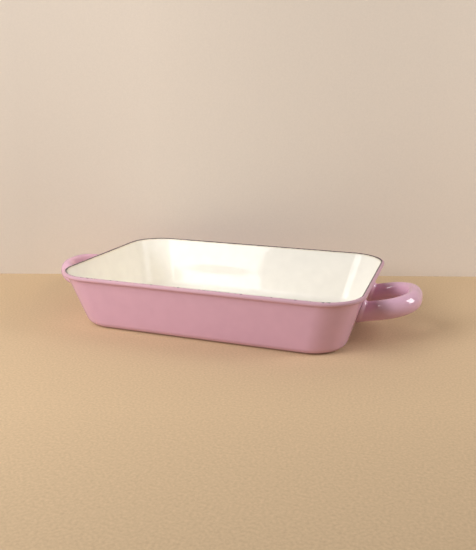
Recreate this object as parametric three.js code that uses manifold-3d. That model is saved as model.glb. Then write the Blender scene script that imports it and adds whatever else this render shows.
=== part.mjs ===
// Enamelled steel roasting pan: a deep-drawn pan with a curled rim and a hollow loop handle at each end.
// Millimetres, +Z up. The origin is the middle of the base's underside, +X points to the right handle
// and -Y to the front long wall.
import * as THREE from 'three';
import Module from 'manifold-3d';
import { mergeVertices } from 'three/addons/utils/BufferGeometryUtils.js';

const { degToRad } = THREE.MathUtils;

// Pan, measured over the enamel
const RIM_LENGTH = 346;
const RIM_WIDTH = 235;
const PAN_HEIGHT = 64;
const WALL_DRAFT = degToRad(16.2);
const RIM_CORNER = 45;
const BASE_CORNER = 38;
const BASE_FILLET = 11;

// Steel sheet, and the coat fired on each side of it
const STEEL = 0.9;
const ENAMEL = 0.3;
const BOND_GAP = 0.05;

// Rolled rim: bead over the enamel, slit between the curled edge and the wall, groove under the bead
const BEAD_RADIUS = 2.4;
const CURL_SLIT = 0.5;
const GROOVE_FILLET = 0.6;

// Dark line along the rim: its place on the bead, from the wall's outward side, and its width
const RIM_LINE_ANGLE = degToRad(131);
const RIM_LINE_WIDTH = 1.2;

// Handle loop: two straight legs, two bends and a short bar, rising outwards
const HANDLE_BELOW_RIM = 30.5;
const HANDLE_RISE = degToRad(12);
const HANDLE_LEG = 23;
const HANDLE_BEND = 31.5;
const HANDLE_BAR = 11;

// Handle tube, measured over the enamel, and the vent under its bend
const TUBE_WIDTH = 17.4;
const TUBE_HEIGHT = 21.4;
const TUBE_WALL = 1;
const VENT_DIAMETER = 4;

// Foot plates between the tube's ends and the end wall
const FOOT_THICKNESS = 3.2;
const FOOT_FLANGE = 1.5;
const FOOT_EDGE = 1.4;
const SEAT_GAP = 0.3;

// Facets of each curved stretch
const CORNER_STEPS = 8;
const FILLET_STEPS = 5;
const GROOVE_STEPS = 3;
const LINE_STEPS = 2;
const CURL_STEPS = 9;
const BEND_STEPS = 9;
const TUBE_SIDES = 16;
const FOOT_SIDES = 24;
const FOOT_EDGE_STEPS = 3;
const VENT_SIDES = 12;

// Finishes
const steelSheet = new THREE.MeshStandardMaterial({ color: '#8d8f92', roughness: 0.4, metalness: 1 });
const creamEnamel = new THREE.MeshStandardMaterial({ color: '#f4ead4', roughness: 0.12, metalness: 0 });
const pinkEnamel = new THREE.MeshStandardMaterial({ color: '#cf9ea8', roughness: 0.15, metalness: 0 });
const darkEnamel = new THREE.MeshStandardMaterial({ color: '#3b2f35', roughness: 0.3, metalness: 0 });

// Joins loops of equal count into one closed surface. A capped surface gets a flat ladder of faces at its
// first and last loop, and any other joins its last loop to its first.
function loft(loops, capped) {
  const count = loops[0].length;
  const index = [];
  const strips = capped ? loops.length - 1 : loops.length;
  for (let strip = 0; strip < strips; strip += 1) {
    const here = strip * count;
    const next = ((strip + 1) % loops.length) * count;
    for (let i = 0; i < count; i += 1) {
      const j = (i + 1) % count;
      index.push(here + i, here + j, next + j, here + i, next + j, next + i);
    }
  }
  if (capped) {
    const last = (loops.length - 1) * count;
    for (let i = 0; i < count / 2 - 1; i += 1) {
      const near = count - 1 - i;
      const far = near - 1;
      index.push(i, far, i + 1, i, near, far);
      index.push(last + i, last + i + 1, last + far, last + i, last + far, last + near);
    }
  }
  const positions = loops.flat().flatMap((point) => point.toArray());
  const geometry = new THREE.BufferGeometry();
  geometry.setAttribute('position', new THREE.Float32BufferAttribute(positions, 3));
  geometry.setIndex(index);
  geometry.computeVertexNormals();
  return geometry;
}

// Section of the pan, in u outwards from the base outline and z up. The outside of the wall runs through
// u = 0 at z = 0, and a depth is measured square to the surface, from the outside enamel inwards.
const wallThickness = STEEL + 2 * (ENAMEL + BOND_GAP);
const steelOutside = ENAMEL + BOND_GAP;
const steelInside = steelOutside + STEEL;
const creamOutside = steelInside + BOND_GAP;
const lean = Math.tan(WALL_DRAFT);
const outward = new THREE.Vector2(Math.cos(WALL_DRAFT), -Math.sin(WALL_DRAFT));
const upward = new THREE.Vector2(Math.sin(WALL_DRAFT), Math.cos(WALL_DRAFT));

const beadHeight = PAN_HEIGHT - BEAD_RADIUS;
const beadOut = beadHeight * lean + (BEAD_RADIUS - wallThickness) / Math.cos(WALL_DRAFT);
const beadCentre = new THREE.Vector2(beadOut, beadHeight);
const filletCentre = new THREE.Vector2(BASE_FILLET * lean - BASE_FILLET / Math.cos(WALL_DRAFT), BASE_FILLET);

// A section point from the bead's centre, measured square to the wall and along it.
function fromBead(across, along) {
  return beadCentre.clone().addScaledVector(outward, across).addScaledVector(upward, along);
}

// An arc of the section. Its angles count from the wall's outward side, and it turns the way they run.
function arc(centre, radius, from, to, steps) {
  const start = from - WALL_DRAFT;
  const end = to - WALL_DRAFT;
  return new THREE.EllipseCurve(centre.x, centre.y, radius, radius, start, end, from > to).getPoints(steps);
}

// The base fillet at a depth, from the flat base up to the wall.
function baseFillet(depth) {
  return arc(filletCentre, BASE_FILLET - depth, WALL_DRAFT - Math.PI / 2, 0, FILLET_STEPS);
}

// Where the curled edge of the steel ends, and where the dark line starts and stops on the bead.
const curlOutside = BEAD_RADIUS - steelOutside;
const curlInside = curlOutside - STEEL;
const curlEnd = -Math.acos((CURL_SLIT - curlInside) / curlOutside);
const halfLine = RIM_LINE_WIDTH / 2 / BEAD_RADIUS;
const lineGap = BOND_GAP / BEAD_RADIUS;
const lineOutside = RIM_LINE_ANGLE - halfLine;
const lineInside = RIM_LINE_ANGLE + halfLine;

// The curl at a radius, from the wall over the top of the bead to the curled edge.
function curl(radius) {
  return [
    ...arc(beadCentre, radius, Math.PI, lineInside, LINE_STEPS),
    ...arc(beadCentre, radius, lineInside, lineOutside, LINE_STEPS).slice(1),
    ...arc(beadCentre, radius, lineOutside, curlEnd, CURL_STEPS).slice(1),
  ];
}

// A plan corner grows more slowly than the wall leans out, so the corners taper between base and rim.
const baseHalfX = RIM_LENGTH / 2 - beadOut - BEAD_RADIUS;
const baseHalfY = RIM_WIDTH / 2 - beadOut - BEAD_RADIUS;
const beadProud = beadOut + BEAD_RADIUS - beadHeight * lean;
const cornerGrowth = (RIM_CORNER - BASE_CORNER - beadProud) / beadHeight;

// The rounded rectangle that a section point draws around the pan.
function panLoop({ x: u, y: z }) {
  const radius = BASE_CORNER + cornerGrowth * z + u - z * lean;
  const middleX = baseHalfX + u - radius;
  const middleY = baseHalfY + u - radius;
  const loop = [];
  [[1, 1], [-1, 1], [-1, -1], [1, -1]].forEach(([sideX, sideY], corner) => {
    for (let step = 0; step <= CORNER_STEPS; step += 1) {
      const turn = (corner + step / CORNER_STEPS) * Math.PI / 2;
      const x = sideX * middleX + radius * Math.cos(turn);
      const y = sideY * middleY + radius * Math.sin(turn);
      loop.push(new THREE.Vector3(x, y, z));
    }
  });
  return loop;
}

// A layer of the pan from its outer and inner face, each given from the base to the rim.
function panLayer(outerFace, innerFace) {
  return loft([...outerFace, ...innerFace.reverse()].map(panLoop), true);
}

function pressedSteelPan() {
  const outerFace = [...baseFillet(steelOutside), ...curl(curlInside)];
  const innerFace = [...baseFillet(steelInside), ...curl(curlOutside)];
  return panLayer(outerFace, innerFace);
}

function creamInsideEnamel() {
  const rim = lineInside + lineGap;
  const outerFace = [
    ...baseFillet(creamOutside),
    ...arc(beadCentre, BEAD_RADIUS - ENAMEL, Math.PI, rim, LINE_STEPS),
  ];
  const innerFace = [
    ...baseFillet(wallThickness),
    ...arc(beadCentre, BEAD_RADIUS, Math.PI, rim, LINE_STEPS),
  ];
  return panLayer(outerFace, innerFace);
}

// The outside coat bridges the slit under the curled edge, and its own face rounds the groove there.
function pinkOutsideEnamel() {
  const rim = lineOutside - lineGap;
  const grooveAcross = wallThickness - BEAD_RADIUS + GROOVE_FILLET;
  const grooveAlong = -Math.sqrt((BEAD_RADIUS + GROOVE_FILLET) ** 2 - grooveAcross ** 2);
  const grooveCentre = fromBead(grooveAcross, grooveAlong);
  const beadStart = Math.atan2(grooveAlong, grooveAcross);
  const outerFace = [
    ...baseFillet(0),
    ...arc(grooveCentre, GROOVE_FILLET, Math.PI, beadStart + Math.PI, GROOVE_STEPS),
    ...arc(beadCentre, BEAD_RADIUS, beadStart, rim, CURL_STEPS).slice(1),
  ];
  const overCurl = arc(beadCentre, BEAD_RADIUS - ENAMEL, curlEnd, rim, CURL_STEPS);
  const slitAlong = (BEAD_RADIUS - ENAMEL) * Math.sin(curlEnd);
  const innerFace = [
    ...baseFillet(ENAMEL),
    fromBead(wallThickness - BEAD_RADIUS - ENAMEL, slitAlong),
    ...overCurl,
  ];
  return panLayer(outerFace, innerFace);
}

function darkRimLine() {
  const outerFace = arc(beadCentre, BEAD_RADIUS, lineOutside, lineInside, LINE_STEPS);
  const innerFace = arc(beadCentre, BEAD_RADIUS - ENAMEL, lineInside, lineOutside, LINE_STEPS);
  return loft([...outerFace, ...innerFace].map(panLoop), false);
}

// A closed geometry as a solid that can be cut.
const wasm = await Module();
wasm.setup();

function toSolid(geometry) {
  const bare = new THREE.BufferGeometry();
  bare.setAttribute('position', geometry.getAttribute('position'));
  bare.setIndex(geometry.index);
  const merged = mergeVertices(bare);
  const triVerts = Uint32Array.from(merged.index.array);
  return new wasm.Manifold(new wasm.Mesh({ numProp: 3, vertProperties: merged.attributes.position.array, triVerts }));
}

function cut(geometry, tool) {
  const { vertProperties, triVerts } = toSolid(geometry).subtract(toSolid(tool)).getMesh();
  const left = new THREE.BufferGeometry();
  left.setAttribute('position', new THREE.BufferAttribute(vertProperties, 3));
  left.setIndex(new THREE.BufferAttribute(triVerts, 1));
  left.computeVertexNormals();
  return left;
}

// The handle's own frame: x along the legs, y along the pan's end, z square to the loop. Its origin lies on
// the end wall's outside, midway between the legs, and the wall leans away from the legs by this angle.
const legMiddle = HANDLE_BAR / 2 + HANDLE_BEND;
const footAngle = WALL_DRAFT + HANDLE_RISE;
const footFace = SEAT_GAP + FOOT_THICKNESS;
const tubeEnd = footFace + SEAT_GAP;

// Places along the tube's centre line between the two feet, each with its heading from the x axis.
function tubeStations() {
  const stations = [];
  [-1, 1].forEach((side) => {
    for (let step = 0; step <= BEND_STEPS; step += 1) {
      const heading = ((side + 1) / 2 + step / BEND_STEPS) * Math.PI / 2;
      const x = HANDLE_LEG + HANDLE_BEND * Math.sin(heading);
      const y = side * HANDLE_BAR / 2 - HANDLE_BEND * Math.cos(heading);
      stations.push({ x, y, heading });
    }
  });
  return [{ x: 0, y: -legMiddle, heading: 0 }, ...stations, { x: 0, y: legMiddle, heading: Math.PI }];
}

// Oval rings of one face of the tube, at a depth below its enamel. The end rings lie flat on the feet.
function tubeRings(depth) {
  const stations = tubeStations();
  const section = new THREE.EllipseCurve(0, 0, TUBE_WIDTH / 2 - depth, TUBE_HEIGHT / 2 - depth);
  const sides = section.getPoints(TUBE_SIDES).slice(0, TUBE_SIDES);
  return stations.map(({ x, y, heading }, place) => {
    const atFoot = place === 0 || place === stations.length - 1;
    return sides.map(({ x: across, y: z }) => {
      const mitred = (tubeEnd + z * Math.sin(footAngle)) / Math.cos(footAngle);
      const along = atFoot ? mitred : x - across * Math.sin(heading);
      return new THREE.Vector3(along, y + across * Math.cos(heading), z);
    });
  });
}

// A layer of the tube between two depths, open at both feet, with the vent through its underside.
function tubeLayer(outerDepth, innerDepth) {
  const wall = loft([...tubeRings(outerDepth), ...tubeRings(innerDepth).reverse()], false);
  const vent = new THREE.CylinderGeometry(VENT_DIAMETER / 2, VENT_DIAMETER / 2, TUBE_HEIGHT / 2, VENT_SIDES);
  vent.rotateX(Math.PI / 2);
  vent.translate(HANDLE_LEG + HANDLE_BEND, 0, -TUBE_HEIGHT / 2);
  return cut(wall, vent);
}

// A foot plate in the end wall's own frame: x square out of the wall, z up along it.
function footPlate() {
  const halfWidth = TUBE_WIDTH / 2 + FOOT_FLANGE;
  const halfHeight = TUBE_HEIGHT / 2 / Math.cos(footAngle) + FOOT_FLANGE;
  const ring = (x, inset) => new THREE.EllipseCurve(0, 0, halfWidth - inset, halfHeight - inset)
    .getPoints(FOOT_SIDES)
    .slice(0, FOOT_SIDES)
    .map(({ x: y, y: z }) => new THREE.Vector3(x, y, z));
  const rings = [ring(SEAT_GAP, 0)];
  for (let step = 0; step <= FOOT_EDGE_STEPS; step += 1) {
    const turn = step / FOOT_EDGE_STEPS * Math.PI / 2;
    rings.push(ring(footFace - FOOT_EDGE * (1 - Math.sin(turn)), FOOT_EDGE * (1 - Math.cos(turn))));
  }
  return loft(rings, true);
}

function mesh(name, geometry, material) {
  const piece = new THREE.Mesh(geometry, material);
  piece.name = name;
  return piece;
}

// One end's handle: the loop turned up by its rise, and its feet flat on the leaning wall.
function handle(side, footNames) {
  const loop = new THREE.Group();
  loop.rotation.y = -HANDLE_RISE;
  loop.add(mesh(`${side}_handle_tube`, tubeLayer(ENAMEL + BOND_GAP, ENAMEL + BOND_GAP + TUBE_WALL), steelSheet));
  loop.add(mesh(`${side}_handle_enamel`, tubeLayer(0, ENAMEL), pinkEnamel));

  const feet = new THREE.Group();
  feet.rotation.y = WALL_DRAFT;
  footNames.forEach((name, place) => {
    const foot = mesh(`${side}_handle_${name}`, footPlate(), pinkEnamel);
    foot.position.set(0, place === 0 ? -legMiddle : legMiddle, footFace * Math.tan(footAngle));
    feet.add(foot);
  });

  const height = PAN_HEIGHT - HANDLE_BELOW_RIM;
  const seated = new THREE.Group();
  seated.position.set(baseHalfX + height * lean, 0, height);
  seated.add(loop, feet);
  const end = new THREE.Group();
  end.add(seated);
  return end;
}

const pan = new THREE.Group();
pan.add(mesh('pressed_steel_pan', pressedSteelPan(), steelSheet));
pan.add(mesh('cream_inside_enamel', creamInsideEnamel(), creamEnamel));
pan.add(mesh('pink_outside_enamel', pinkOutsideEnamel(), pinkEnamel));
pan.add(mesh('dark_rim_line', darkRimLine(), darkEnamel));
pan.add(handle('right', ['front_foot', 'back_foot']));
const leftHandle = handle('left', ['back_foot', 'front_foot']);
leftHandle.rotation.z = Math.PI;
pan.add(leftHandle);

export default pan;
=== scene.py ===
# Enamelled steel roasting pan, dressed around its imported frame. Metres, +Z up, with the middle of the
# base's underside at the origin, +X to the right handle and -Y to the front long wall.
import math

import bmesh
import bpy
from mathutils import Matrix, Vector


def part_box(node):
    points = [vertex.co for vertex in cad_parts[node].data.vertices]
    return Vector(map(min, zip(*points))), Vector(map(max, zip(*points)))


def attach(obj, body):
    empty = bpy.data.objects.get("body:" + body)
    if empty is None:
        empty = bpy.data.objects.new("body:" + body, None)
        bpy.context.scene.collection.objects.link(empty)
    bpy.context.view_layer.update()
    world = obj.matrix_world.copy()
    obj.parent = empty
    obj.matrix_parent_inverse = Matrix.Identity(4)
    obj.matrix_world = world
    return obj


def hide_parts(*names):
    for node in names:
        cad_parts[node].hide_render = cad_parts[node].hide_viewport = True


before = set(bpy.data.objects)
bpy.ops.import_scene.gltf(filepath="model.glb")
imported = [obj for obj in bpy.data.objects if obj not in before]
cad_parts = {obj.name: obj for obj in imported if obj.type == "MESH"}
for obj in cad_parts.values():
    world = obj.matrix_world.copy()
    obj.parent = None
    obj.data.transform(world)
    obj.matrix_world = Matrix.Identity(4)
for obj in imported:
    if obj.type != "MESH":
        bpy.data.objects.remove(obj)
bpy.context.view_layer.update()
MM = 0.001


# Pressed steel pan: one sheet of enamelling steel, deep drawn in a press, with its rim curled outwards
# into a hollow bead. The coats seal it on both sides, so the frame's own solid stands for it, in bare
# fired steel.
DRAWING_LINE = 0.8 * MM
STEEL_SCALE = "#5d5e61"
STEEL_BRIGHT = "#8d8f92"
STEEL_SMOOTH = 0.35
STEEL_DULL = 0.6


def linear(colour):
    """An sRGB hex colour as the linear values that a shader takes."""
    shares = [int(colour[place:place + 2], 16) / 255 for place in (1, 3, 5)]
    return [s / 12.92 if s <= 0.04045 else ((s + 0.055) / 1.055) ** 2.4 for s in shares] + [1]


def add_node(material, kind, inputs, **settings):
    """Adds a node with its settings, fills its inputs with values or links, and gives its outputs."""
    node = material.node_tree.nodes.new(kind)
    for name, value in settings.items():
        setattr(node, name, value)
    for socket, value in inputs.items():
        if isinstance(value, bpy.types.NodeSocket):
            material.node_tree.links.new(value, node.inputs[socket])
        else:
            node.inputs[socket].default_value = value
    return node.outputs


def new_material(name):
    """An empty node material."""
    material = bpy.data.materials.new(name)
    material.use_nodes = True
    material.node_tree.nodes.clear()
    return material


# Fired steel sheet: rolled and drawn, then greyed by the furnace. The eye gets a dull grey with faint lines
# along the draw.
fired_steel = new_material("fired_enamelling_steel")
steel_place = add_node(fired_steel, "ShaderNodeTexCoord", {})["Object"]
steel_lines = add_node(
    fired_steel, "ShaderNodeTexNoise", {"Vector": steel_place, "Scale": 1 / DRAWING_LINE, "Detail": 3}
)["Fac"]
steel_colour = add_node(
    fired_steel, "ShaderNodeMix", {0: steel_lines, 6: linear(STEEL_SCALE), 7: linear(STEEL_BRIGHT)},
    data_type="RGBA",
)[2]
steel_rough = add_node(
    fired_steel, "ShaderNodeMapRange", {"Value": steel_lines, "To Min": STEEL_SMOOTH, "To Max": STEEL_DULL}
)[0]
steel_surface = add_node(
    fired_steel, "ShaderNodeBsdfPrincipled",
    {"Base Color": steel_colour, "Roughness": steel_rough, "Metallic": 1},
)[0]
add_node(fired_steel, "ShaderNodeOutputMaterial", {"Surface": steel_surface})


def finish_steel(node):
    """Gives a solid of the frame the fired steel finish."""
    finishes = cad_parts[node].data.materials
    finishes.clear()
    finishes.append(fired_steel)


finish_steel("pressed_steel_pan")


# Cream lining: a cover coat of cream vitreous enamel, sprayed on the inside of the pan and fired to a glass
# skin about 0.3 mm thick. It runs over the floor, up the leaning walls and on to the inner side of the rim.
WALL_DRAFT = math.radians(16.2)
WALL_THICKNESS = 1.6 * MM
COAT = 0.3 * MM
BASE_FILLET = 11 * MM
BASE_CORNER = 38 * MM
RIM_CORNER = 45 * MM
BEAD_RADIUS = 2.4 * MM
RIM_LINE_ANGLE = math.radians(131)
RIM_LINE_WIDTH = 1.2 * MM
FLOOR_MARGIN = 4 * MM
CORNER_STEPS = 24
FILLET_STEPS = 16
WALL_STEPS = 8
BEAD_STEPS = 6
EDGE_ROUND = 0.1 * MM
EDGE_STEPS = 2
SHARP_EDGE = math.radians(60)
SMOOTH_TURN = math.radians(35)
RUN_OUT = 8 * MM
CREAM = "#eeeae1"
CREAM_THIN = "#dcd2c1"

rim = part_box("pink_outside_enamel")[1]
lean = math.tan(WALL_DRAFT)
bead_up = rim.z - BEAD_RADIUS
bead_out = bead_up * lean + (BEAD_RADIUS - WALL_THICKNESS) / math.cos(WALL_DRAFT)
base_half_x = rim.x - bead_out - BEAD_RADIUS
base_half_y = rim.y - bead_out - BEAD_RADIUS
bead_proud = bead_out + BEAD_RADIUS - bead_up * lean
corner_growth = (RIM_CORNER - BASE_CORNER - bead_proud) / bead_up
fillet_out = BASE_FILLET * lean - BASE_FILLET / math.cos(WALL_DRAFT)
half_line = RIM_LINE_WIDTH / 2 / BEAD_RADIUS


def arc(out, up, radius, start, end, steps):
    """Section points on an arc. Its angles count from the wall's outward side, as the rim is measured."""
    turns = [start + (end - start) * step / steps - WALL_DRAFT for step in range(steps + 1)]
    return [(out + radius * math.cos(turn), up + radius * math.sin(turn)) for turn in turns]


def base_and_wall(depth, wall_end):
    """Section of one face at a depth below the outside, over the base, round its fillet and up the wall."""
    fillet = arc(fillet_out, BASE_FILLET, BASE_FILLET - depth, WALL_DRAFT - math.pi / 2, 0, FILLET_STEPS)
    wall_start = fillet[-1]
    wall = [
        tuple(a + (b - a) * step / WALL_STEPS for a, b in zip(wall_start, wall_end))
        for step in range(1, WALL_STEPS)
    ]
    return [(fillet[0][0] - FLOOR_MARGIN, depth)] + fillet + wall


def select_only(piece):
    """Selects one piece, alone, and makes it the active one."""
    bpy.ops.object.select_all(action="DESELECT")
    bpy.context.view_layer.objects.active = piece
    piece.select_set(True)


def start_piece(name):
    """A new piece with an empty mesh at the origin, alone selected, in edit mode."""
    piece = bpy.data.objects.new(name, bpy.data.meshes.new(name))
    bpy.context.collection.objects.link(piece)
    select_only(piece)
    bpy.ops.object.mode_set(mode="EDIT")
    return piece


def close_piece(faces_in=False):
    """Turns all faces of the piece in edit mode outwards, or inwards, and leaves edit mode."""
    bpy.ops.mesh.select_all(action="SELECT")
    bpy.ops.mesh.normals_make_consistent(inside=faces_in)
    bpy.ops.object.mode_set(mode="OBJECT")


def select_vertices(piece, first, end):
    """Selects only a run of vertices, with the edges between them, in edit mode."""
    bpy.ops.mesh.select_all(action="DESELECT")
    mesh = bmesh.from_edit_mesh(piece.data)
    mesh.verts.ensure_lookup_table()
    for vertex in mesh.verts[first:end]:
        vertex.select = True
    mesh.select_flush_mode()


def run_out_at(distance):
    """How far a coat has run out at a distance from its edge: 0 at its full thickness, 1 at the edge."""
    return max(0, 1 - distance / RUN_OUT)


def loft(name, section, with_floor, faces_in):
    """Lays one rounded outline for each section point, bridges each to the one before and keeps how far
    the coat has run out there, towards its edge at the section's last point, in an attribute."""
    piece = start_piece(name)
    ring = 4 * (CORNER_STEPS + 1)
    for place, (out, up) in enumerate(section):
        half_x = base_half_x + out
        half_y = base_half_y + out
        corner = BASE_CORNER + corner_growth * up + out - up * lean
        bpy.ops.mesh.select_all(action="DESELECT")
        bpy.ops.mesh.primitive_plane_add(size=2, location=(0, 0, up))
        bpy.ops.transform.resize(value=(half_x, half_y, 1), center_override=(0, 0, up))
        bpy.ops.mesh.bevel(affect="VERTICES", offset=corner, segments=CORNER_STEPS)
        bpy.ops.mesh.delete(type="ONLY_FACE")
        if place > 0:
            select_vertices(piece, (place - 1) * ring, (place + 1) * ring)
            bpy.ops.mesh.bridge_edge_loops()
    if with_floor:
        select_vertices(piece, 0, ring)
        bpy.ops.mesh.edge_face_add()
    close_piece(faces_in)
    steps = [math.dist(a, b) for a, b in zip(section, section[1:])]
    thinness = [run_out_at(sum(steps[place:])) for place in range(len(section))]
    run_out = piece.data.attributes.new("run_out", "FLOAT", "POINT")
    run_out.data.foreach_set("value", [share for share in thinness for _ in range(ring)])
    return piece


def apply_modifier(piece, kind, **settings):
    """Adds a modifier, sets it and applies it."""
    select_only(piece)
    modifier = piece.modifiers.new(kind.lower(), kind)
    for name, value in settings.items():
        setattr(modifier, name, value)
    bpy.ops.object.modifier_apply(modifier=modifier.name)


def thicken(piece, thickness):
    """Gives a face its thickness, away from the side that is seen."""
    apply_modifier(piece, "SOLIDIFY", thickness=thickness, offset=-1, use_even_offset=True)


def finish_coat(piece, material, node):
    """Rounds the edges of a coat as the fire does, and puts it in the place of its solid."""
    apply_modifier(
        piece, "BEVEL", width=EDGE_ROUND, segments=EDGE_STEPS, limit_method="ANGLE", angle_limit=SHARP_EDGE
    )
    bpy.ops.object.shade_smooth_by_angle(angle=SMOOTH_TURN)
    piece.data.materials.append(material)
    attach(piece, "root")
    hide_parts(node)


# Cream vitreous enamel: an opaque glass, fired to a clear gloss that mirrors lamps with crisp edges. It
# keeps a slight orange peel from spraying, a slow swell and one shallow dent of the sheet below. Towards
# the rim it thins and ends raggedly on the ground coat.
ENAMEL_IOR = 1.6
PEEL = 3.5 * MM
PEEL_DEPTH = 0.006 * MM
SWELL = 55 * MM
SWELL_DEPTH = 0.1 * MM
MOTTLE = 14 * MM
MOTTLE_TONE = 0.02
NOISE_LOW = 0.3
NOISE_MIDDLE = 0.5
NOISE_HIGH = 0.7
RAGGED = 4 * MM
RAGGED_SIDES = 0.15
BARE_EDGE = (0.28 * MM, 0.08 * MM)
DENT_MIDDLE = Vector((-43, 100, 20)) * MM
DENT_SIZE = Vector((52, 60, 12)) * MM
DENT_DEPTH = 0.42 * MM
FRONT_CORNER = -100 * MM
FRONT_RIM = -112 * MM
GROUND = "#2c2327"


def vitreous_enamel(
    name, colour, thin_and_shade_colour, thin_and_shade_zone, gloss, rim_gloss, roughness, rim_roughness, ragged_front, inside
):
    """A glossy vitreous enamel that runs out towards the rim line, more raggedly along the front. From the
    first to the second distance of its thinning zone, both from its edge, it gets darker and less glossy.
    The darker colour is the thinner coat, and on the pink bead it is also painted shade."""
    enamel = new_material(name)
    place = add_node(enamel, "ShaderNodeTexCoord", {})["Object"]
    peel = add_node(
        enamel, "ShaderNodeTexNoise", {"Vector": place, "Scale": 1 / PEEL, "Detail": 1}
    )["Fac"]
    swell = add_node(
        enamel, "ShaderNodeTexNoise", {"Vector": place, "Scale": 1 / SWELL, "Detail": 1}
    )["Fac"]
    mottle = add_node(
        enamel, "ShaderNodeTexNoise", {"Vector": place, "Scale": 1 / MOTTLE, "Detail": 4}
    )["Fac"]
    shade = add_node(
        enamel, "ShaderNodeMapRange",
        {
            "Value": mottle, "From Min": NOISE_LOW, "From Max": NOISE_HIGH,
            "To Min": 1 - MOTTLE_TONE, "To Max": 1 + MOTTLE_TONE,
        },
    )[0]
    body = add_node(
        enamel, "ShaderNodeMix", {0: 1, 6: linear(colour), 7: shade},
        data_type="RGBA", blend_type="MULTIPLY",
    )[2]
    run_out = add_node(enamel, "ShaderNodeAttribute", {}, attribute_name="run_out")["Fac"]
    thin_and_shade_start, thin_and_shade_full = [run_out_at(distance) for distance in thin_and_shade_zone]
    thin_and_shade = add_node(
        enamel, "ShaderNodeMapRange", {"Value": run_out, "From Min": thin_and_shade_start, "From Max": thin_and_shade_full},
        interpolation_type="SMOOTHSTEP",
    )[0]
    # Towards the edge the colour turns to the second colour: thinner enamel, and on the pink bead also
    # painted shade.
    toned = add_node(
        enamel, "ShaderNodeMix", {0: thin_and_shade, 6: body, 7: linear(thin_and_shade_colour)}, data_type="RGBA"
    )[2]
    ragged = add_node(
        enamel, "ShaderNodeTexNoise", {"Vector": place, "Scale": 1 / RAGGED, "Detail": 2}
    )["Fac"]
    depth = add_node(enamel, "ShaderNodeSeparateXYZ", {0: place})["Y"]
    raggedness = add_node(
        enamel, "ShaderNodeMapRange",
        {
            "Value": depth, "From Min": FRONT_CORNER, "From Max": FRONT_RIM,
            "To Min": RAGGED_SIDES, "To Max": ragged_front,
        },
    )[0]
    wander = add_node(enamel, "ShaderNodeMath", {0: ragged, 1: NOISE_MIDDLE}, operation="SUBTRACT")[0]
    reach = add_node(
        enamel, "ShaderNodeMath", {0: wander, 1: raggedness, 2: run_out}, operation="MULTIPLY_ADD"
    )[0]
    bare_start, bare_full = [run_out_at(distance) for distance in BARE_EDGE]
    bare = add_node(
        enamel, "ShaderNodeMapRange", {"Value": reach, "From Min": bare_start, "From Max": bare_full}
    )[0]
    tinted = add_node(
        enamel, "ShaderNodeMix", {0: bare, 6: toned, 7: linear(GROUND)}, data_type="RGBA"
    )[2]
    matt = add_node(
        enamel, "ShaderNodeMapRange", {"Value": thin_and_shade, "To Min": roughness, "To Max": rim_roughness}
    )[0]
    shine = gloss
    if rim_gloss != gloss:
        shine = add_node(
            enamel, "ShaderNodeMapRange", {"Value": thin_and_shade, "To Min": gloss, "To Max": rim_gloss}
        )[0]
    slow = add_node(
        enamel, "ShaderNodeBump", {"Height": swell, "Strength": 1, "Distance": SWELL_DEPTH}
    )[0]
    away = add_node(enamel, "ShaderNodeVectorMath", {0: place, 1: DENT_MIDDLE}, operation="SUBTRACT")[0]
    shares = add_node(enamel, "ShaderNodeVectorMath", {0: away, 1: DENT_SIZE}, operation="DIVIDE")[0]
    square = add_node(
        enamel, "ShaderNodeVectorMath", {0: shares, 1: shares}, operation="DOT_PRODUCT"
    )["Value"]
    dent = add_node(enamel, "ShaderNodeMath", {0: 1 / math.e, 1: square}, operation="POWER")[0]
    dented = add_node(
        enamel, "ShaderNodeBump", {"Height": dent, "Strength": 1, "Distance": DENT_DEPTH, "Normal": slow},
        invert=inside,
    )[0]
    normal = add_node(
        enamel, "ShaderNodeBump", {"Height": peel, "Strength": 1, "Distance": PEEL_DEPTH, "Normal": dented}
    )[0]
    surface = add_node(
        enamel, "ShaderNodeBsdfPrincipled",
        {
            "Base Color": tinted, "Roughness": matt, "IOR": ENAMEL_IOR, "Specular IOR Level": shine,
            "Normal": normal,
        },
    )[0]
    add_node(enamel, "ShaderNodeOutputMaterial", {"Surface": surface})
    return enamel


cream_enamel = vitreous_enamel(
    "cream_vitreous_enamel", CREAM, CREAM_THIN, thin_and_shade_zone=(3 * MM, 0), gloss=0.12, rim_gloss=0.12,
    roughness=0.045, rim_roughness=0.14, ragged_front=RAGGED_SIDES, inside=True,
)
inner_bead = arc(bead_out, bead_up, BEAD_RADIUS, math.pi, RIM_LINE_ANGLE + half_line, BEAD_STEPS)
cream_section = base_and_wall(WALL_THICKNESS, inner_bead[0]) + inner_bead
cream_lining = loft("cream_lining", cream_section, with_floor=True, faces_in=True)
thicken(cream_lining, COAT)
finish_coat(cream_lining, cream_enamel, "cream_inside_enamel")


# Pink outer coat: the cover coat of the outside, sprayed over the bead, the walls and the underside of the
# base, which the pan stands on. It pools in the groove under the bead, where the curl meets the wall.
GROOVE_FILLET = 1.1 * MM
GROOVE_STEPS = 6
CROWN_STEPS = 26
PINK = "#d7abc1"
# The darker pink of the bead's crest: partly the thinner coat, partly painted shade.
PINK_THIN_AND_SHADE = "#c9a2b0"

groove_across = WALL_THICKNESS - BEAD_RADIUS + GROOVE_FILLET
groove_along = -math.sqrt((BEAD_RADIUS + GROOVE_FILLET) ** 2 - groove_across ** 2)
groove_out = bead_out + groove_across * math.cos(WALL_DRAFT) + groove_along * math.sin(WALL_DRAFT)
groove_up = bead_up - groove_across * math.sin(WALL_DRAFT) + groove_along * math.cos(WALL_DRAFT)
bead_start = math.atan2(groove_along, groove_across)
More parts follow.
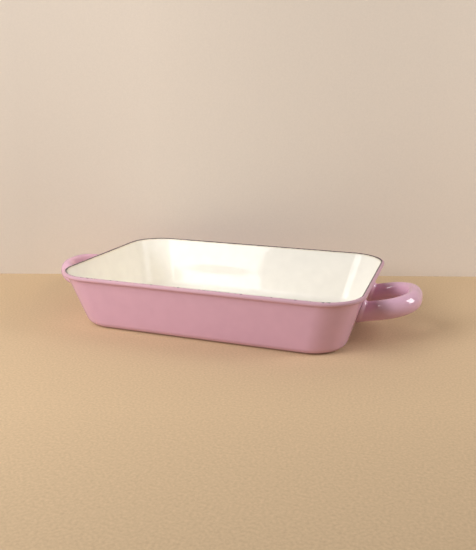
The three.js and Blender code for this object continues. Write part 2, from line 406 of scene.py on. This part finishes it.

# Pink vitreous enamel: the same glass in pink, with a full gloss on the walls and the handles. On the bead
# it runs thinner over the curl, which gives a softer, duller band with a ragged end. That band's darker
# colour is partly the thinner coat and partly painted shade on the bead's crest.
pink_enamel = vitreous_enamel(
    "pink_vitreous_enamel", PINK, PINK_THIN_AND_SHADE, thin_and_shade_zone=(6.5 * MM, 3.5 * MM), gloss=0.5, rim_gloss=0.08,
    roughness=0.04, rim_roughness=0.4, ragged_front=0.9, inside=False,
)
groove = arc(groove_out, groove_up, GROOVE_FILLET, math.pi, bead_start + math.pi, GROOVE_STEPS)
crown = arc(bead_out, bead_up, BEAD_RADIUS, bead_start, RIM_LINE_ANGLE - half_line, CROWN_STEPS)
pink_section = base_and_wall(0, groove[0]) + groove + crown[1:]
pink_coat = loft("pink_outer_coat", pink_section, with_floor=True, faces_in=False)
thicken(pink_coat, COAT)
finish_coat(pink_coat, pink_enamel, "pink_outside_enamel")


# Rim line: between the two cover coats the dark ground coat shows as a hairline along the crest of the rim.
# It is the first enamel fired on the steel, thinner than the cover coats, so it lies a little lower.
LINE_STEPS = 6
LINE_SUNK = 0.06 * MM

# Dark ground enamel: a nearly black glass that bonds to the steel. It gives the eye a satin dark line.
ground_enamel = vitreous_enamel(
    "dark_ground_enamel", GROUND, GROUND, thin_and_shade_zone=(3 * MM, 0), gloss=0.35, rim_gloss=0.35,
    roughness=0.25, rim_roughness=0.32, ragged_front=RAGGED_SIDES, inside=True,
)
line_section = arc(
    bead_out, bead_up, BEAD_RADIUS - LINE_SUNK,
    RIM_LINE_ANGLE + half_line, RIM_LINE_ANGLE - half_line, LINE_STEPS,
)
rim_line = loft("ground_coat_line", line_section, with_floor=False, faces_in=False)
thicken(rim_line, COAT - LINE_SUNK)
finish_coat(rim_line, ground_enamel, "dark_rim_line")


# Handles: an oval steel tube bent to a loop at each end of the pan, enamelled pink over its whole length,
# with a vent under the bend that lets the hot air out in the furnace. Each loop rises a little outwards.
HANDLE_BELOW_RIM = 30.5 * MM
HANDLE_RISE = math.radians(12)
HANDLE_LEG = 22.9 * MM
HANDLE_BEND = 31.5 * MM
HANDLE_BAR = 11 * MM
TUBE_WIDTH = 17.4 * MM
TUBE_HEIGHT = 21.4 * MM
VENT_DIAMETER = 4 * MM
FOOT_THICKNESS = 3.2 * MM
SEAT_GAP = 0.3 * MM
MERGE_DISTANCE = 0.001 * MM
TUBE_SIDES = 64
BEND_STEPS = 32
VENT_SIDES = 32

foot_angle = WALL_DRAFT + HANDLE_RISE
leg_middle = HANDLE_BAR / 2 + HANDLE_BEND
foot_face = SEAT_GAP + FOOT_THICKNESS
seat_height = rim.z - HANDLE_BELOW_RIM
seat = Vector((base_half_x + seat_height * lean, 0, seat_height))


def place_piece(piece, turn, location):
    """Turns a piece about Y, moves it and leaves its object at the origin."""
    select_only(piece)
    piece.rotation_euler = (0, turn, 0)
    piece.location = location
    bpy.ops.object.transform_apply(location=True, rotation=True, scale=True)


def left_copy(piece, name):
    """A copy of a right-hand piece, turned half round to the left end, with its own mesh."""
    select_only(piece)
    bpy.ops.object.duplicate()
    copy = bpy.context.active_object
    copy.name = name
    copy.rotation_euler = (0, 0, math.pi)
    bpy.ops.object.transform_apply(location=True, rotation=True, scale=True)
    return copy


# The legs start behind the wall and are cut off in front of the foot plates.
right_loop = start_piece("right_handle_loop")
bpy.ops.mesh.primitive_circle_add(
    vertices=TUBE_SIDES, radius=TUBE_WIDTH / 2, location=(-TUBE_HEIGHT, -leg_middle, 0),
    rotation=(0, math.pi / 2, 0),
)
bpy.ops.transform.resize(value=(1, 1, TUBE_HEIGHT / TUBE_WIDTH))
bpy.ops.mesh.extrude_edges_move(TRANSFORM_OT_translate={"value": (HANDLE_LEG + TUBE_HEIGHT, 0, 0)})
bpy.ops.mesh.spin(
    steps=BEND_STEPS, angle=-math.pi / 2, center=(HANDLE_LEG, -HANDLE_BAR / 2, 0), axis=(0, 0, 1)
)
bpy.ops.mesh.extrude_edges_move(TRANSFORM_OT_translate={"value": (0, HANDLE_BAR, 0)})
bpy.ops.mesh.spin(
    steps=BEND_STEPS, angle=-math.pi / 2, center=(HANDLE_LEG, HANDLE_BAR / 2, 0), axis=(0, 0, 1)
)
bpy.ops.mesh.extrude_edges_move(TRANSFORM_OT_translate={"value": (-HANDLE_LEG - TUBE_HEIGHT, 0, 0)})
bpy.ops.mesh.select_all(action="SELECT")
bpy.ops.mesh.remove_doubles(threshold=MERGE_DISTANCE)
foot_normal = Vector((math.cos(foot_angle), 0, -math.sin(foot_angle)))
bpy.ops.mesh.bisect(plane_co=foot_normal * (foot_face + SEAT_GAP), plane_no=foot_normal, clear_inner=True)
close_piece()
thicken(right_loop, COAT)
bpy.ops.object.select_all(action="DESELECT")
bpy.ops.mesh.primitive_cylinder_add(
    vertices=VENT_SIDES, radius=VENT_DIAMETER / 2, depth=TUBE_HEIGHT,
    location=(HANDLE_LEG + HANDLE_BEND, 0, -TUBE_HEIGHT / 2),
)
vent = bpy.context.active_object
apply_modifier(right_loop, "BOOLEAN", operation="DIFFERENCE", object=vent)
bpy.data.objects.remove(vent)
place_piece(right_loop, -HANDLE_RISE, seat)
left_loop = left_copy(right_loop, "left_handle_loop")
for loop, side in ((right_loop, "right"), (left_loop, "left")):
    finish_coat(loop, pink_enamel, f"{side}_handle_enamel")
    finish_steel(f"{side}_handle_tube")


# Foot plates: a thick oval steel plate closes each end of the tube and is welded flat to the pan's end
# wall. The pink coat rounds its edge, fills the weld and runs on as a thin collar around the tube.
FOOT_FLANGE = 1.5 * MM
FOOT_EDGE = 1 * MM
COLLAR_END = 5 * MM
COLLAR = 0.1 * MM
COLLAR_GAP = 0.03 * MM
FOOT_SIDES = 96
COVE_STEPS = 12


def foot_ring(away, growth):
    """Middle height and half sizes of the foot's oval at a distance from the wall."""
    rise = max(0, away - foot_face) * math.tan(foot_angle)
    return rise, TUBE_WIDTH / 2 + growth, TUBE_HEIGHT / 2 / math.cos(foot_angle) + growth


# Distance from the wall and growth beyond the tube, over the plate's edge, its round with the weld's cove
# and the collar, and back inside the collar.
rings = [(SEAT_GAP, FOOT_FLANGE)]
for step in range(COVE_STEPS + 1):
    share = step / COVE_STEPS
    growth = COLLAR + (FOOT_FLANGE - COLLAR) * (1 + math.cos(math.pi * share)) / 2
    rings.append((FOOT_EDGE + (COLLAR_END - FOOT_EDGE) * share, growth))
rings += [(COLLAR_END, COLLAR_GAP), (foot_face, COLLAR_GAP)]

foot_plate = start_piece("right_front_foot")
middle, half_width, half_height = foot_ring(*rings[0])
bpy.ops.mesh.primitive_circle_add(
    vertices=FOOT_SIDES, radius=half_width, location=(rings[0][0], 0, 0), rotation=(0, math.pi / 2, 0),
    fill_type="NGON",
)
bpy.ops.transform.resize(value=(1, 1, half_height / half_width))
for (last_away, last_growth), (away, growth) in zip(rings, rings[1:]):
    last_middle, last_width, last_height = foot_ring(last_away, last_growth)
    middle, half_width, half_height = foot_ring(away, growth)
    move = (away - last_away, 0, middle - last_middle)
    bpy.ops.mesh.extrude_region_move(TRANSFORM_OT_translate={"value": move})
    bpy.ops.transform.resize(
        value=(1, half_width / last_width, half_height / last_height), center_override=(away, 0, middle)
    )
close_piece()
bpy.ops.object.shade_smooth_by_angle(angle=SMOOTH_TURN)
foot_plate.data.materials.append(pink_enamel)
# The oval's middle lies where the leg's middle line meets the plate's outer face.
foot_seat = seat + Matrix.Rotation(WALL_DRAFT, 3, "Y") @ Vector((0, 0, foot_face * math.tan(foot_angle)))
bpy.ops.object.duplicate()
back_plate = bpy.context.active_object
back_plate.name = "right_back_foot"
place_piece(foot_plate, WALL_DRAFT, foot_seat + Vector((0, -leg_middle, 0)))
place_piece(back_plate, WALL_DRAFT, foot_seat + Vector((0, leg_middle, 0)))
feet = {
    "right_handle_front_foot": foot_plate,
    "right_handle_back_foot": back_plate,
    "left_handle_back_foot": left_copy(foot_plate, "left_back_foot"),
    "left_handle_front_foot": left_copy(back_plate, "left_front_foot"),
}
for node, foot in feet.items():
    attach(foot, "root")
    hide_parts(node)


# Table and backdrop: plain buff paper under the pan and a plain pale sheet behind it, where the table ends.
# Both carry painted shade: the table is darker towards its front, the sheet darker towards its left. The
# sheet shows only its front, so that the pan can be looked at from behind.
TABLE_HALF = 1.0
TABLE_DEPTH = 1.1
TABLE_OVERLAP = 3 * MM
BACKDROP_AWAY = 0.922
BACKDROP_HALF = 0.9
BACKDROP_HEIGHT = 1.6
PAPER_FIBRE = 2.2 * MM
PAPER_PAINTED_SHADE = 0.86
PAPER_ROUGHNESS = 0.9
BUFF = "#ccb18e"
PALE = "#dccfc1"

# The photograph's view, which the table's back edge and the backdrop stand square to.
VIEW_AZIMUTH = math.radians(19.12)
VIEW_ELEVATION = math.radians(14.76)
VIEW_ROLL = math.radians(0.38)
VIEW_DISTANCE = 703.62 * MM
VIEW_TARGET = Vector((26.36, -44.54, 63.7)) * MM
FOCAL_PIXELS = 631.49
IMAGE_HEIGHT = 550

level_right = Vector((math.cos(VIEW_AZIMUTH), math.sin(VIEW_AZIMUTH), 0))
level_back = Vector((math.sin(VIEW_AZIMUTH), -math.cos(VIEW_AZIMUTH), 0))
back = level_back * math.cos(VIEW_ELEVATION) + Vector((0, 0, math.sin(VIEW_ELEVATION)))
eye = VIEW_TARGET + back * VIEW_DISTANCE


# Uncoated paper: pressed pulp, which gives the eye a matt and faintly flecked tone. The fleck is drawn
# coarser than real fibres, so that it shows.
def paper(name, colour, fleck, shade_along, shade_from, shade_to, one_sided):
    """Matt uncoated paper with a faint fleck and painted shade that darkens it along one direction."""
    sheet = new_material(name)
    place = add_node(sheet, "ShaderNodeTexCoord", {})["Object"]
    fibre = add_node(
        sheet, "ShaderNodeTexNoise", {"Vector": place, "Scale": 1 / PAPER_FIBRE, "Detail": 3}
    )["Fac"]
    shade = add_node(
        sheet, "ShaderNodeMapRange", {"Value": fibre, "To Min": 1 - fleck, "To Max": 1 + fleck}
    )[0]
    along = add_node(
        sheet, "ShaderNodeVectorMath", {0: place, 1: shade_along}, operation="DOT_PRODUCT"
    )["Value"]
    # Painted shade: the paper's colour darkens along one direction, between two distances.
    painted_shade = add_node(
        sheet, "ShaderNodeMapRange",
        {"Value": along, "From Min": shade_from, "From Max": shade_to, "To Min": 1, "To Max": PAPER_PAINTED_SHADE},
    )[0]
    toned = add_node(sheet, "ShaderNodeMath", {0: shade, 1: painted_shade}, operation="MULTIPLY")[0]
    tone = add_node(
        sheet, "ShaderNodeMix", {0: 1, 6: linear(colour), 7: toned}, data_type="RGBA", blend_type="MULTIPLY"
    )[2]
    surface = add_node(
        sheet, "ShaderNodeBsdfPrincipled", {"Base Color": tone, "Roughness": PAPER_ROUGHNESS}
    )[0]
    if one_sided:
        behind = add_node(sheet, "ShaderNodeNewGeometry", {})["Backfacing"]
        clear = add_node(sheet, "ShaderNodeBsdfTransparent", {})[0]
        surface = add_node(sheet, "ShaderNodeMixShader", {0: behind, 1: surface, 2: clear})[0]
    add_node(sheet, "ShaderNodeOutputMaterial", {"Surface": surface})
    return sheet


backdrop_foot = Vector((eye.x, eye.y, 0)) - level_back * BACKDROP_AWAY
stage_turn = Matrix.Rotation(VIEW_AZIMUTH, 4, "Z")

table = start_piece("table_paper")
bpy.ops.mesh.primitive_plane_add(size=2)
bpy.ops.transform.resize(value=(TABLE_HALF, TABLE_DEPTH / 2, 1))
bpy.ops.object.mode_set(mode="OBJECT")
table_middle = backdrop_foot + level_back * (TABLE_DEPTH / 2 - TABLE_OVERLAP)
table.matrix_world = Matrix.Translation(table_middle) @ stage_turn
bpy.ops.object.transform_apply(location=True, rotation=True, scale=True)
# Painted shade on the table: darker towards its front edge.
buff_paper = paper(
    "buff_paper", BUFF, fleck=0.22, shade_along=level_back, shade_from=0.25, shade_to=0.42, one_sided=False
)
table.data.materials.append(buff_paper)

backdrop = start_piece("backdrop_sheet")
bpy.ops.mesh.primitive_plane_add(size=2, rotation=(math.pi / 2, 0, 0))
bpy.ops.transform.resize(value=(BACKDROP_HALF, 1, BACKDROP_HEIGHT / 2))
bpy.ops.object.mode_set(mode="OBJECT")
backdrop_middle = backdrop_foot + Vector((0, 0, BACKDROP_HEIGHT / 2))
backdrop.matrix_world = Matrix.Translation(backdrop_middle) @ stage_turn
bpy.ops.object.transform_apply(location=True, rotation=True, scale=True)
# Painted shade on the sheet: darker towards its left.
pale_paper = paper(
    "pale_paper", PALE, fleck=0.05, shade_along=-level_right, shade_from=0.12, shade_to=0.3, one_sided=True
)
backdrop.data.materials.append(pale_paper)


# Studio light: a soft box at the front left with a wider one above it, and a third one at the right, which
# give the pale reflections in the enamel. A small warm one with a grid stands at the right front, lights
# the pan's left inside and isn't mirrored. The room adds a dim fill, and pale walls past the table.
KEY_CENTRE = Vector((-625, -1019, 590)) * MM
KEY_AIM = Vector((95, -64, 30)) * MM
KEY_SIZE = (600 * MM, 420 * MM)
KEY_RADIANCE = 12.5
HIGH_CENTRE = Vector((-606, -736, 938)) * MM
HIGH_AIM = Vector((37, 121, 203)) * MM
HIGH_SIZE = (914 * MM, 420 * MM)
HIGH_RADIANCE = 5.9
SIDE_CENTRE = Vector((1095, 110, 560)) * MM
SIDE_AIM = Vector((0, 0, 30)) * MM
SIDE_SIZE = (420 * MM, 600 * MM)
SIDE_RADIANCE = 8.8
GRID_CENTRE = Vector((630, -441, 666)) * MM
GRID_AIM = Vector((-150, 10, 35)) * MM
GRID_SIZE = (120 * MM, 120 * MM)
GRID_RADIANCE = 0.66
GRID_SPREAD = math.radians(16)
GRID_COLOUR = "#ffeac4"
NEUTRAL = "#ffffff"
FILL = 0.02
FILL_COLOUR = "#fff8f0"
WALLS = "#d9cbbb"


def soft_box(name, centre, size, radiance, aim, spread=math.pi, colour=NEUTRAL):
    """A rectangular soft box that faces a point, with a radiance. A grid narrows its spread."""
    lamp = bpy.data.lights.new(name, "AREA")
    lamp.shape = "RECTANGLE"
    lamp.size, lamp.size_y = size
    lamp.energy = radiance * math.pi * size[0] * size[1]
    lamp.spread = spread
    lamp.color = linear(colour)[:3]
    box = bpy.data.objects.new(name, lamp)
    box.location = centre
    box.rotation_euler = (aim - centre).to_track_quat("-Z", "Y").to_euler()
    box.visible_camera = False
    bpy.context.collection.objects.link(box)
    return box


soft_box("key_soft_box", KEY_CENTRE, KEY_SIZE, KEY_RADIANCE, KEY_AIM)
soft_box("high_soft_box", HIGH_CENTRE, HIGH_SIZE, HIGH_RADIANCE, HIGH_AIM)
soft_box("side_soft_box", SIDE_CENTRE, SIDE_SIZE, SIDE_RADIANCE, SIDE_AIM)
gridded_box = soft_box(
    "gridded_soft_box", GRID_CENTRE, GRID_SIZE, GRID_RADIANCE, GRID_AIM, GRID_SPREAD, GRID_COLOUR
)
gridded_box.visible_glossy = False

room = bpy.data.worlds.new("studio_fill")
bpy.context.scene.world = room
room.use_nodes = True
room.node_tree.nodes.clear()
paths = add_node(room, "ShaderNodeLightPath", {})
seen = paths["Is Camera Ray"]
for mirrored in ("Is Glossy Ray", "Is Transmission Ray"):
    seen = add_node(room, "ShaderNodeMath", {0: seen, 1: paths[mirrored]}, operation="MAXIMUM")[0]
dim = add_node(room, "ShaderNodeBackground", {"Color": linear(FILL_COLOUR), "Strength": FILL})[0]
walls = add_node(room, "ShaderNodeBackground", {"Color": linear(WALLS), "Strength": 1})[0]
surroundings = add_node(room, "ShaderNodeMixShader", {0: seen, 1: dim, 2: walls})[0]
add_node(room, "ShaderNodeOutputWorld", {"Surface": surroundings})


# Camera: at the photograph's viewing angle, with the long side of its 476 by 550 image on the sensor's
# width.
SENSOR_WIDTH = 36

level_up = back.cross(level_right)
view_right = level_right * math.cos(VIEW_ROLL) + level_up * math.sin(VIEW_ROLL)
view_up = level_up * math.cos(VIEW_ROLL) - level_right * math.sin(VIEW_ROLL)
lens = bpy.data.cameras.new("view")
lens.sensor_width = SENSOR_WIDTH
lens.lens = FOCAL_PIXELS / IMAGE_HEIGHT * SENSOR_WIDTH
camera = bpy.data.objects.new("view", lens)
camera.matrix_world = Matrix.Translation(eye) @ Matrix((view_right, view_up, back)).transposed().to_4x4()
bpy.context.collection.objects.link(camera)
bpy.context.scene.camera = camera
bpy.context.scene.view_settings.view_transform = "Standard"
